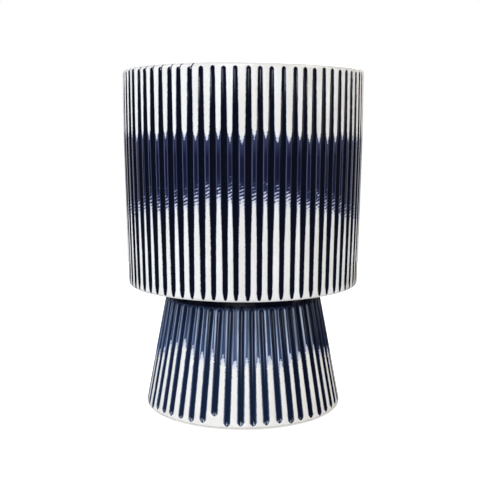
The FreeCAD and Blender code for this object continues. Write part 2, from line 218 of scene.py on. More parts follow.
class CachepotStageSizes(bpy.types.PropertyGroup):
    """Where the camera and the lamps stand."""

    camera_distance: length("Camera distance", "Level distance from the pot's axis to the camera", 0.6377)
    camera_height: length("Camera height", "Floor to the camera", 0.2001)
    camera_side: length("Camera side", "How far the camera stands to the left of the axis", 0.0022)
    camera_tilt: turn("Camera tilt", "How far the camera looks down", radians(7.25))
    lens: FloatProperty(name="Lens", description="Focal length in mm", default=66.45, unit="CAMERA")
    floor_reach: length("Floor reach", "Radius of the round floor", 0.7)
    room_light: share("Room light", "Plain light from all round", 0.15)
    room_shine: share("Room shine", "How much of that light the glaze mirrors from in front", 0.25)
    lamp_aim: length("Lamp aim", "Height on the pot's axis at which the lamps point", 0.13)
    left_power: power("Left lamp", "Power of the softbox high on the left", 5.9)
    right_power: power("Right lamp", "Power of the softbox high on the right", 4.4)
    top_power: power("Top lamp", "Power of the softbox overhead", 6.4)
    panel_power: power("Left panel", "Power of the far panel on the left", 5.7)
    window_power: power("Right window", "Power of the far, small panel low on the right", 0.6)
    front_power: power("Front panel", "Power of the far panel to the left behind the camera", 10.0)
    strip_power: power("Front strip", "Power of the low strip in front that gleams in the flutes", 1.5)
    back_power: power("Back lamp", "Power of the softbox high behind the pot", 8.5)


def softened(amount, softness):
    """A ramp that is zero below zero and rises one for one above it, with a rounded corner."""
    return softness * np.logaddexp(0, amount / softness)


def ramp(amount, nought, one):
    """Goes evenly from nought at the first bound to one at the second, and is level outside them."""
    return np.clip((amount - nought) / (one - nought), 0, 1)


def graded(stops, counts):
    """Heights from stop to stop, each stretch evenly divided by its count, ends included."""
    stretches = [np.linspace(*stretch)[:-1] for stretch in zip(stops, stops[1:], counts)]
    return np.append(np.concatenate(stretches), stops[-1])


def rounding(centre, radius, first, last, count):
    """Points of a circle: its middle plus the radius at evenly spaced angles, in degrees."""
    angle = np.radians(np.linspace(first, last, count))
    return np.column_stack((centre[0] + radius * np.cos(angle), centre[1] + radius * np.sin(angle)))


def stray(rng, count, reach):
    """One random amount for each flute, up to the reach either way."""
    return reach * rng.uniform(-1, 1, count)


def flute_bearings(size):
    """Where evenly spaced flutes stand, as angles from the front."""
    return size.flute_turn + 2 * pi * np.arange(size.flutes) / size.flutes - FRONT


def flute_columns(size, rng):
    """Columns of a fluted grid: their angles, flutes, ridges and angles from the middle of the flute.

    Flutes stand evenly round the pot, each moved by a random part of the pitch. A flute's columns
    go from mid-ridge to mid-ridge and crowd together where the flute meets the ridge.
    """
    count = size.flutes
    half = np.array([0.2, 0.34, 0.43, 0.5, 0.58, 0.7, 0.85])
    across = np.concatenate((-half[::-1], [0.0], half, [1.0]))
    middle = size.flute_turn + 2 * pi * (np.arange(count) + stray(rng, count, size.unevenness)) / count
    gap = np.diff(np.append(middle, middle[0] + 2 * pi)) / 2
    before = np.roll(gap, 1)
    offset = across * np.where(across >= 0, gap[:, None], before[:, None])
    flute = np.repeat(np.arange(count), across.size)
    ridge = np.where(np.tile(across, count) >= 0, flute, flute - 1) % count
    return (middle[:, None] + offset).ravel(), flute, ridge, offset.ravel()


def carve(size, outer, radius, line, across, depth, ends):
    """What a tapering round tool takes off the outer wall, and how far points lie outside the cut's edge.

    The tool's middle runs outside the line by its radius less the depth. Its radius falls towards the
    flute's ends, so that at each end it only just touches the line: it is that clearance plus the depth
    times the smaller of the two ends' shares, which are one inside the flute and nought at its end. The
    tool's surface stands at its middle less the root of its radius squared minus the distance across
    squared, and beside the tool it goes on two for one. The flute is as wide as that surface lies inside
    the wall. The bite's edges are softened, and the ridges fall from a crown by the square of a ramp.
    """
    clear = size.tool_radius - depth
    nose = clear + depth * np.minimum(ends, 1)
    deep = np.sqrt(np.maximum(nose**2 - across**2, 0)) - 2 * np.maximum(np.abs(across) - nose, 0)
    gap = line + clear - radius
    span = nose * np.abs(nose) - gap * np.abs(gap)
    past = np.abs(across) - np.sign(span) * np.sqrt(np.abs(span))
    crown = size.ridge_crown * ramp(past, RIDGE_HALF, 0) ** 2
    cut = softened(deep - gap, size.ridge_softness) + crown * (past > 0)
    return np.where(outer[:, None], cut, 0.0), np.where(outer[:, None], past, PLAIN)


def put_mesh(name, rings, closed, values):
    """Makes a mesh of rings of points, with faces between neighbours, and its attributes.

    The rings are an array of rows, columns and coordinates, and each row closes on itself. The last
    row joins the first if the section is closed, and otherwise both end rows close on a middle point.
    """
    rows, columns = rings.shape[:2]
    place = np.arange(rows * columns).reshape(rows, columns)
    low = place if closed else place[:-1]
    high = np.roll(place, -1, axis=0) if closed else place[1:]
    quads = np.stack((low, np.roll(low, -1, axis=1), np.roll(high, -1, axis=1), high), axis=-1)
    faces = quads.reshape(-1, 4).tolist()
    points = rings.reshape(-1, 3)
    if not closed:
        first, last = place[0], place[-1]
        first_middle, last_middle = np.full(columns, len(points)), np.full(columns, len(points) + 1)
        faces += np.column_stack((first_middle, np.roll(first, -1), first)).tolist()
        faces += np.column_stack((last_middle, last, np.roll(last, -1))).tolist()
        points = np.vstack((points, rings[0].mean(axis=0), rings[-1].mean(axis=0)))
    mesh = bpy.data.meshes.new(name)
    mesh.from_pydata(points.tolist(), [], faces)
    for key, value in values.items():
        flat = np.broadcast_to(value, (rows, columns)).ravel()
        flat = np.append(flat, np.zeros(len(points) - flat.size))
        mesh.attributes.new(key, "FLOAT", "POINT").data.foreach_set("value", flat.astype(np.float32))
    mesh.polygons.foreach_set("use_smooth", np.ones(len(faces), bool))
    mesh.set_sharp_from_angle(angle=CREASE)
    mesh.update()
    piece = bpy.data.objects.new(name, mesh)
    bpy.context.scene.collection.objects.link(piece)
    return piece


def turned(radius, height, angle):
    """Points of a turned surface: radius times the cosine and sine of the angle, and the height."""
    height = np.broadcast_to(height, radius.shape)
    return np.stack((radius * np.cos(angle), radius * np.sin(angle), height), axis=-1)


def drum_section(size):
    """Section of the drum, which of its points are outside, and the last point of the wall.

    The section goes from the middle of the underside over the locating ring and the heel, up the wall,
    over the rim and down the inside to the middle of the floor. The wall's radius is the rim's, less
    the taper times a softened ramp of the depth below the bend.
    """
    under, top, edge, heel_edge = size.underside, size.rim_height, size.rim_edge, size.heel_edge
    bend, start = top - size.upright_band, under + heel_edge
    taper = size.draw_in / (bend - under)
    inside, floor = size.rim_radius - size.wall, under + size.floor
    ring_out, ring_foot, soft = size.ring_outside, size.ring_foot, size.ring_edge
    ring_in = ring_out - size.ring_wall
    below = [
        (POLE_RING, under),
        (ring_in - soft, under),
        (ring_in, under - soft),
        (ring_in, ring_foot + soft),
        (ring_in + soft, ring_foot),
        (ring_out - soft, ring_foot),
        (ring_out, ring_foot + soft),
        (ring_out, under - soft),
        (ring_out + soft, under),
        (size.rim_radius - size.draw_in - 2 * heel_edge, under),
    ]

    # Rows crowd together at the heel and the rim, and a little round the bend.
    crowd = 0.008
    stops = (start, start + crowd, bend - 3 * crowd, bend + 2 * crowd, top - crowd, top - edge)
    heights = graded(stops, (12, 6, 8, 4, 11))
    wall = np.column_stack((size.rim_radius - taper * softened(bend - heights, size.bend_softness), heights))
    tilt = np.degrees(np.arctan(taper))
    heel = rounding((wall[0, 0] - heel_edge, start), heel_edge, -90, -tilt, 5)[:-1]
    outer_rim = rounding((size.rim_radius - edge, top - edge), edge, 0, 90, 8)[1:]
    inner_rim = rounding((inside + edge, top - edge), edge, 90, 180, 5)
    first_inner_row, corner_top = top - 0.02, floor + size.well_corner
    deep = np.linspace(first_inner_row, corner_top, 5)
    inner = np.column_stack((inside - taper * softened(bend - deep, size.bend_softness), deep))
    corner = rounding((inner[-1, 0] - size.well_corner, corner_top), size.well_corner, 0, -90, 6)[1:]
    section = np.vstack((below, heel, wall, outer_rim, inner_rim, inner, corner, [(POLE_RING, floor)]))
    wall_end = len(below) + len(heel) + len(wall)
    outer = np.zeros(len(section), bool)
    outer[len(below) : wall_end + len(outer_rim)] = True
    return section, outer, wall_end - 1


def drum_grid(size, look, rng):
    """Rings of the drum and its attributes.

    The section is turned round the axis. The carving tool follows the straight line from the heel to
    the rim, and what it takes off is taken off the radius. The attributes, in mm, say how far a place
    lies outside its flute, where the navy band starts and ends, how far it lies from mid-ridge and from
    the flute's tail over the rim, which is painted shade, and how wide that tail is. A random tone differs
    from ridge to ridge.
    """
    under, top, edge, count = size.underside, size.rim_height, size.rim_edge, size.flutes
    section, outer, wall_last = drum_section(size)
    radius, height = section[:, :1], section[:, 1:]
    angle, flute, ridge, offset = flute_columns(size, rng)
    bearing = angle - FRONT
    side = np.sin(bearing)

    # Marks of the hand: flutes differ in depth, length and lean. Those at the sides are deeper, and those
    # on the left reach higher.
    depth_play, side_gain = 0.15, 0.5
    high_play, left_rise, low_play, lean_play = 0.0005, 0.0012, 0.0004, 0.0006
    heel_line = size.rim_radius - size.draw_in - size.flute_sink
    line = np.interp(height, (under, top - edge), (heel_line, size.rim_radius))
    aside = np.sin(flute_bearings(size))
    depth = size.flute_depth * (1 + side_gain * aside**2 + stray(rng, count, depth_play))
    high_end = top - size.flute_margin - left_rise * np.minimum(aside, 0) + stray(rng, count, high_play)
    low_end = under + size.heel_band + stray(rng, count, low_play)
    lean = stray(rng, count, lean_play) / size.rim_radius
    across = radius * (offset - lean[flute] * (height - under) / (top - under))
    upper_share = (high_end[flute] - height) / size.flute_rounding
    lower_share = (height - low_end[flute]) / size.flute_run_out
    cut, past = carve(size, outer, radius, line, across, depth[flute], np.minimum(upper_share, lower_share))
    # The underside near the foot is painted the pooled navy of the flutes: painted shade under the drum.
    underside_shade_radius, underside_shade_past = 0.072, -0.002
    past = np.where((height <= under) & (radius < underside_shade_radius), underside_shade_past, past)

    # The band sways from ridge to ridge. It starts lower on the right, and hangs down at the sides.
    top_sway, right_drop, low_sway, side_drop, left_lift = 0.0015, 0.0012, 0.0016, 0.02, 0.004
    sway = rng.uniform(-1, 1, (3, count))[:, ridge]
    band_top = look.band_top + top_sway * sway[0] - right_drop * np.maximum(side, 0)
    band_low = look.band_low + low_sway * sway[1] - side_drop * side**2 + left_lift * np.maximum(-side, 0)
    # The white stands off the flutes towards the sides, by mm, most on the left, but not at the outline.
    side_gap, left_gap, outline = 0.2, 0.13, 0.92
    stand_off = (side_gap * side**2 - left_gap * side) * ramp(np.abs(side), 1, outline)

    # Tails where the tool left the flute sideways over the rim, on one side of the pot: navy painted as the
    # shade on the wall of that exit scoop, which isn't carved. They start beside the flute's middle, a
    # little below its end, and their half widths are given along the section.
    tail_beside, tail_slope, tail_lead = 0.0008, 0.45, 0.0015
    tails_turn, tails_within, tails_play = 1.15, 0.7, 0.07
    flute_middle, near_ridge = -0.01, 0.93
    step = np.hypot(*np.diff(section, axis=0).T)
    along = np.append(0, np.cumsum(step))[:, None]
    along = along - along[wall_last] + top - edge
    shade_tail = across - tail_beside - tail_slope * np.maximum(along - high_end[flute] + tail_lead, 0)
    leaves = np.cos(bearing + tails_turn) + stray(rng, count, tails_play)[flute] > tails_within
    near = (offset > flute_middle) & (np.abs(offset) < near_ridge * pi / count)
    tail_stops = (high_end.min() - 0.002, high_end.min(), top + 0.001, top + 0.002)
    shade_tail_width = np.interp(along, tail_stops, (-1, 0.75, 0.45, -1))
    from_ridge = offset - np.where(offset >= 0, 1, -1) * pi / count
    on_wall = outer[:, None]
    values = {
        "flute_edge": past * MM_PER_METRE - stand_off,
        "band_top": np.where(on_wall, band_top, -1.0) * MM_PER_METRE,
        "band_low": np.where(on_wall, band_low, 1.0) * MM_PER_METRE,
        "ridge_tone": np.where(on_wall, (sway[2] + 1) / 2, 0.5),
        "ridge_across": from_ridge * size.rim_radius * MM_PER_METRE,
        "shade_tail": shade_tail * MM_PER_METRE,
        "shade_tail_width": np.where(leaves & near, shade_tail_width, -1.0),
    }

    # The drum is a little out of round and its rim a little out of level, all inside the CAD box.
    oval, ripple, warp, inset = 0.00012, 0.00007, 0.00018, 0.0002
    wobble = oval * np.cos(2 * bearing + 0.6) + ripple * np.cos(5 * bearing) - inset
    bend = top - size.upright_band
    lift = warp * np.cos(3 * bearing + 0.4) * ramp(height, bend, top) - inset * (height > bend)
    return turned(radius - cut + wobble, height + lift, angle), values


def foot_section(size):
    """Section of the foot, and which of its points are outside.

    It is a closed loop: up the straight, leaning wall, over the bed, down the inside and back along the
    base.
    """
    base, top, edge = size.base_height, size.top_height, size.base_edge
    high_tip, low_tip = top - size.collar, base + size.base_band
    # Rows crowd together at the flutes' ends.
    crowd, lip_edge, lip_drop, mouth_edge = 0.002, 0.0006, 0.0008, 0.001
    stops = (base + edge, low_tip + 6 * crowd, high_tip - 4 * crowd, high_tip + crowd, top - lip_edge)
    heights = graded(stops, (20, 7, 16, 4))
    wall = np.column_stack((np.interp(heights, (base, top), (size.base_radius, size.top_radius)), heights))
    throat, mouth = size.top_radius - size.wall, size.base_radius - size.base_wall
    lip = [(size.top_radius - lip_edge, top), (throat + lip_edge, top)]
    deep = np.linspace(top - lip_drop, base + mouth_edge, 5)
    inner = np.column_stack((np.interp(deep, (base, top), (mouth, throat)), deep))
    land = [(mouth + mouth_edge, base), (size.base_radius - 2 * edge, base)]
    toe = rounding((wall[0, 0] - edge, base + edge), edge, -90, 0, 6)[:-1]
    section = np.vstack((toe, wall, lip, inner, land))
    return section, np.arange(len(section)) < len(toe) + len(wall)


def foot_grid(size, look, rng):
    """Rings of the foot and its attributes.

    The section is turned round the axis. The carving tool follows the wall, so its bite has one depth
    between its ends. The attributes say, in mm, how far a place lies outside its flute and where the
    navy ends, and, from nought to one, how strong the painted highlight lines are, how much painted shade
    darkens the right side and whether the clay is bare. A random tone differs from ridge to ridge.
    """
    base, top, edge, count = size.base_height, size.top_height, size.base_edge, size.flutes
    section, outer = foot_section(size)
    radius, height = section[:, :1], section[:, 1:]
    angle, flute, ridge, offset = flute_columns(size, rng)
    bearing = angle - FRONT
    side = np.sin(bearing)

    # Marks of the hand: flutes differ in depth, length and lean, and one stops short.
    depth_play, high_play, low_play, lean_play = 0.12, 0.0005, 0.0009, 0.0006
    slope = (size.top_radius - size.base_radius) / (top - base)
    line = size.base_radius + slope * (height - base)
    depth = size.flute_depth * (1 + stray(rng, count, depth_play))
    high_end = top - size.collar + stray(rng, count, high_play)
    low_end = base + size.base_band + stray(rng, count, low_play)
    low_end[np.argmax(np.cos(flute_bearings(size) - size.short_flute))] += size.short_by
    lean = stray(rng, count, lean_play) / size.base_radius
    across = radius * (offset - lean[flute] * (height - base) / (top - base))
    ends = np.minimum(high_end[flute] - height, height - low_end[flute]) / size.flute_rounding
    cut, past = carve(size, outer, radius, line, across, depth[flute], ends)

    # The navy ends higher or lower from ridge to ridge. It ends higher towards the sides, left of the
    # front and on the right, and hangs down at the outline.
    ridge_sway, side_rise, side_most, left_rise, left_turn = 0.003, 0.012, 0.45, 0.006, 0.7
    right_rise, outline_drop, outline = 0.003, 0.036, 0.7
    sway = rng.uniform(-1, 1, (2, count))[:, ridge]
    fade = look.fade + side_rise * np.minimum(side**2, side_most) + ridge_sway * sway[0]
    fade = fade + left_rise * np.maximum(np.cos(bearing + left_turn), 0) ** 6
    fade = fade + right_rise * np.maximum(side, 0) - outline_drop * np.maximum(np.abs(side) - outline, 0)

    # Painted highlights lie as pale lines along the ridges' flanks, most where they face left, and painted
    # shade darkens the right side.
    left = offset >= 0
    left_highlight = 0.4 + 0.6 * np.maximum(np.cos(bearing - 0.55), 0) ** 4
    right_highlight = (0.3 + 0.6 * np.maximum(np.cos(bearing + 0.1), 0) ** 4) * ramp(side, 0.55, 0.25)
    left_play, right_play = rng.uniform(0.45, 1.0, (2, count))[:, flute]
    highlight_lines = np.where(left, left_highlight * left_play, right_highlight * right_play) * ramp(side, 0.8, 0.76)
    bare_height = base + 0.1 * edge
    values = {
        "flute_edge": past * MM_PER_METRE,
        "fade": fade * MM_PER_METRE,
        "ridge_tone": (sway[1] + 1) / 2,
        "highlight_lines": highlight_lines,
        "highlight_width": 0.6 + 0.6 * left * ramp(side, 0.45, 0.6),
        "right_shade": ramp(side, 0.3, 0.65),
        "bare": np.where(outer[:, None] & (height > bare_height), 0.0, 1.0),
    }
    oval = 0.0001
    return turned(radius - cut + oval * np.cos(2 * bearing + 2.1), height, angle), values


def add(tree, kind, inputs=(), out=0, **settings):
    """Adds a shader node with its settings, sets or links its inputs, and returns one output.

    The inputs come by name or number, or as a tuple in the node's own order. For MapRange that is the
    value, the two ends of the range that it comes from and the two ends of the one that it goes to.
    """
    node = tree.nodes.new(f"ShaderNode{kind}")
    for key, value in settings.items():
        setattr(node, key, value)
    for key, value in inputs.items() if isinstance(inputs, dict) else enumerate(inputs):
        if isinstance(value, bpy.types.NodeSocket):
            tree.links.new(value, node.inputs[key])
        else:
            node.inputs[key].default_value = value
    return node.outputs[out] if node.outputs else None


def new_material(name):
    """Starts an empty node material, and returns it with a short way to add nodes to it."""
    material = bpy.data.materials.new(name)
    material.use_nodes = True
    material.node_tree.nodes.clear()
    return material, partial(add, material.node_tree)


def millimetres(node):
    """Place on the object, in mm."""
    place = node("TexCoord", out="Object")
    return node("VectorMath", {0: place, "Scale": MM_PER_METRE}, operation="SCALE")


def glaze_noises(node, mm, cloud_size):
    """Noises of a glaze: its clouds, the wobble of its edges, its pinholes and its dry-brush strokes.

    The strokes are as wide as the wobble and as high as the pinholes.
    """
    clouds, wobble, pinholes = (
        node("TexNoise", {"Vector": mm, "Scale": 1 / size, "Detail": 2.0}, out="Fac")
        for size in (cloud_size, WOBBLE_SIZE, PINHOLE_SIZE)
    )
    wide, tall = 1 / WOBBLE_SIZE, 1 / PINHOLE_SIZE
    flat = node("VectorMath", (mm, (wide, wide, tall)), operation="MULTIPLY")
    strokes = node("TexNoise", {"Vector": flat, "Scale": 1.0, "Detail": 3.0, "Roughness": 0.6}, out="Fac")
    return clouds, wobble, pinholes, strokes


def roughened(node, amount, *noises):
    """An amount moved by noises: each adds its distance from one half, times its reach."""
    for noise, reach in noises:
        swing = node("Math", (noise, 0.5), operation="SUBTRACT")
        amount = node("Math", (swing, reach, amount), operation="MULTIPLY_ADD")
    return amount


def white_glaze(node, look, clouds, tone, least):
    """White glaze: warmer where it runs thin, in clouds and from ridge to ridge, from the least share up."""
    warm = node("MapRange", (clouds, 0.35, 0.65))
    warm = node("Math", (tone, warm), operation="ADD")
    warm = node("MapRange", (warm, 0.0, 2.0, least))
    return node("Mix", {0: warm, 6: look.white, 7: look.cream}, out=2, data_type="RGBA")


def iron_specks(node, mm):
    """Where iron specks show, about 0.5 mm across and some 14 mm apart."""
    core, rim = 0.224 / SPECK_GAP, 0.364 / SPECK_GAP
    far = node("TexVoronoi", {"Vector": mm, "Scale": 1 / SPECK_GAP})
    return node("MapRange", (far, core, rim, 0.7, 0.0))


def glaze_relief(node, white, pinholes):
    """Height of the glaze, in mm: the white lies on the navy, and pinholes dent both."""
    white_thickness, pinhole_depth = 0.05, 0.02
    relief = node("Math", (white, white_thickness), operation="MULTIPLY")
    return node("Math", (pinholes, pinhole_depth, relief), operation="MULTIPLY_ADD")


def points_above_band(node, edge, height, band_top, strokes):
    """White above the navy band: the height over the band, and how far inside the white a place lies, in mm.

    The white stays back from the flutes, by less the higher it is, so each ridge's white is drawn to a
    point. Brush strokes move the points up and down.
    """
    stroke_reach, gap, gap_height, overlap = 7.0, 2.6, 7.0, 0.03
    above = node("Math", (height, band_top), operation="SUBTRACT")
    above = roughened(node, above, (strokes, stroke_reach))
    back = node("Math", (above, 0.0), operation="MAXIMUM")
    back = node("Math", (back, gap_height), operation="ADD")
    back = node("Math", (gap, back), operation="DIVIDE")
    point = node("MapRange", (above, 0.0, 7.0, 1.4, 0.0))
    begin = node("MapRange", (above, -1.0, 0.5, 4.0, 0.0))
    inside = node("Math", (edge, overlap), operation="ADD")
    for held in (back, point, begin):
        inside = node("Math", (inside, held), operation="SUBTRACT")
    return above, inside


def strokes_below_band(node, edge, height, band_low, tone, across, wobble, strokes):
    """White below the navy band: the depth below it, and how far inside the white a place lies, in mm.

    It starts as slanting strokes of a dry brush, which thicken downwards, and then as a point that widens
    to the flutes. The strokes are a zigzag along the height, shifted by the slant times the place across
    the ridge and by the ridge's tone, and they are white where the fill, which grows downwards, tops it.
    """
    stroke_gap, slant, ridge_shift, stroke_play, patchiness, margin = 2.2, -0.45, 7.0, 1.4, 1.6, 0.5
    below = node("Math", (band_low, height), operation="SUBTRACT")
    fill = node("MapRange", (below, -8.0, 5.0, 0.0, 0.9), clamp=False)
    fill = roughened(node, fill, (wobble, patchiness))
    phase = node("Math", (across, slant, height), operation="MULTIPLY_ADD")
    phase = node("Math", (phase, 2 / stroke_gap), operation="MULTIPLY")
    phase = node("Math", (tone, ridge_shift, phase), operation="MULTIPLY_ADD")
    phase = node("Math", (strokes, stroke_play, phase), operation="MULTIPLY_ADD")
    zigzag = node("Math", (phase, 1.0), operation="PINGPONG")
    dash = node("Math", (fill, zigzag), operation="SUBTRACT")
    dash = node("Math", (dash, stroke_gap / 2), operation="MULTIPLY")
    clear = node("Math", (edge, margin), operation="SUBTRACT")
    dash = node("Math", (dash, clear), operation="MINIMUM")

    point_area, point_top, point_shift = 0.9, 1.0, 0.3
    point = node("Math", (below, point_top), operation="MAXIMUM")
    point = node("Math", (point, point_shift), operation="SUBTRACT")
    point = node("Math", (point_area, point), operation="DIVIDE")
    back = node("MapRange", (below, 0.0, 28.0, 0.5, -0.03))
    begin = node("MapRange", (below, -6.0, 0.0, 3.0, 0.0))
    inside = edge
    for held in (back, point, begin):
        inside = node("Math", (inside, held), operation="SUBTRACT")
    return below, node("Math", (inside, dash), operation="MAXIMUM")


def shaded_tails_over_rim(node, coat, shade_tail, shade_tail_width):
    """The white that the tails over the rim leave, and how far a place lies outside them, in mm.

    The tails are navy painted as the shade on the wall of the tool's exit scoop, which isn't carved. A thin
    line of white, a painted highlight, stays between the flute's end and its tail.
    """
    highlight_beside, highlight_half = 0.55, 0.16
    clear = node("Math", (shade_tail,), operation="ABSOLUTE")
    clear = node("Math", (clear, shade_tail_width), operation="SUBTRACT")
    coat = node("Math", (coat, clear), operation="MINIMUM")
    line = node("Math", (shade_tail, highlight_beside), operation="ADD")
    line = node("Math", (line,), operation="ABSOLUTE")
    line = node("Math", (highlight_half, line), operation="SUBTRACT")
    line = node("Math", (line, shade_tail_width), operation="MINIMUM")
    return node("Math", (coat, line), operation="MAXIMUM"), clear


def drum_glaze(look, size):
    """White glaze over navy on the drum.

    Stoneware dipped in navy glaze, wiped off the ridges and coated there with white. The white is drawn
    to points where it meets the navy band from above, dry-brushed where it starts again below, frayed
    along the flutes and thin over the rim. Both are glossy, and the navy is darkest and smoothest where
    it has pooled in the flutes.
    """
    material, node = new_material("glazed_stoneware_drum")
    mm = millimetres(node)
    height = node("SeparateXYZ", (mm,), out="Z")
    edge, band_top, band_low, tone, across, shade_tail, shade_tail_width = (
        node("Attribute", out="Fac", attribute_name=name)
        for name in ("flute_edge", "band_top", "band_low", "ridge_tone", "ridge_across", "shade_tail", "shade_tail_width")
    )
    clouds, wobble, pinholes, strokes = glaze_noises(node, mm, cloud_size=25.0)

    # How far inside the white a place lies, in mm. Its edge is frayed on some ridges more than on others.
    above, upper = points_above_band(node, edge, height, band_top, strokes)
    below, lower = strokes_below_band(node, edge, height, band_low, tone, across, wobble, strokes)
    coat = node("Math", (upper, lower), operation="MAXIMUM")
    # Painted shade: the navy tails over the rim; painted highlight: the thin white line beside them.
    coat, clear = shaded_tails_over_rim(node, coat, shade_tail, shade_tail_width)
    edge_play, soft = 0.3, 0.14
    fray = node("MapRange", (tone, 0.5, 1.0, 0.35, 0.8))
    coat = roughened(node, coat, (wobble, edge_play), (pinholes, fray))
    white = node("MapRange", (coat, -soft, soft), interpolation_type="SMOOTHSTEP")

    # The white is thin over the rim and along its edges, and a haze at the points above and below the band.
    rim = size.rim_height * MM_PER_METRE
    over_rim = node("MapRange", (height, rim - 3.2, rim - 0.5))
    thin = node("MapRange", (coat, 0.0, 0.5, 0.6, 0.0))
    hazy = node("MapRange", (below, -8.0, 6.0, 0.85, 0.0))
    is_lower = node("Math", (upper, lower), operation="LESS_THAN")
    hazy = node("Math", (hazy, is_lower), operation="MULTIPLY")
    tip = node("MapRange", (above, 0.5, 5.0, 0.7, 0.0))
    is_upper = node("Math", (upper, lower), operation="GREATER_THAN")
    tip = node("Math", (tip, is_upper), operation="MULTIPLY")
    hazy = node("Math", (hazy, tip), operation="MAXIMUM")
    specks = iron_specks(node, mm)
    pale = white_glaze(node, look, clouds, tone, least=0.0)
    for amount, tint in ((over_rim, look.rim), (thin, look.shade), (hazy, look.haze), (specks, look.speck)):
        pale = node("Mix", {0: amount, 6: pale, 7: tint}, out=2, data_type="RGBA")

    # The navy pools almost black in the flutes and blooms to violet next to the white. Along the ridges'
    # edges it breaks to a thin blue, partly thin glaze and partly a painted highlight, most on their left.
    lip = node("Math", (edge, clear), operation="MINIMUM")
    raised = node("MapRange", (lip, -0.1, 0.3), interpolation_type="SMOOTHSTEP")
    crest_and_highlight = node("MapRange", (lip, 0.3, 0.9, 0.85, 0.0))
    break_and_highlight = node("MapRange", (tone, 0.0, 1.0, 0.4, 1.2))
    # Painted highlight: the ridges' left flanks get more of the thin blue than their right ones.
    lit_flank = node("MapRange", (across, -1.8, 1.8, 1.35, 0.55))
    break_and_highlight = node("Math", (break_and_highlight, lit_flank), operation="MULTIPLY")
    crest_and_highlight = node("Math", (crest_and_highlight, break_and_highlight), operation="MULTIPLY", use_clamp=True)
    under_white = node("Math", (band_top, height), operation="SUBTRACT")
    bloom = node("MapRange", (under_white, 1.0, 9.0, 0.5, 0.0))
    low_bloom = node("MapRange", (below, -14.0, 0.0, 0.0, 0.65))
    bloom = node("Math", (bloom, low_bloom), operation="MAXIMUM")
    dark = look.navy
    for amount, tint in ((crest_and_highlight, look.navy_break_and_highlight), (bloom, look.violet)):
        dark = node("Mix", {0: amount, 6: dark, 7: tint}, out=2, data_type="RGBA")
    dark = node("Mix", {0: raised, 6: look.ink_and_shade, 7: dark}, out=2, data_type="RGBA")
    colour = node("Mix", {0: white, 6: dark, 7: pale}, out=2, data_type="RGBA")

    flute_roughness = 0.05
    sheen = node("MapRange", (clouds, 0.3, 0.7, 0.1, 0.2))
    sheen = node("Mix", {0: raised, 2: flute_roughness, 3: sheen})
    relief = glaze_relief(node, white, pinholes)
    normal = node("Bump", {"Height": relief, "Strength": 0.7, "Distance": 1 / MM_PER_METRE})
    surface = node(
        "BsdfPrincipled", {"Base Color": colour, "Roughness": sheen, "Normal": normal, "IOR": GLAZE_IOR}
    )
    node("OutputMaterial", {"Surface": surface})
    return material


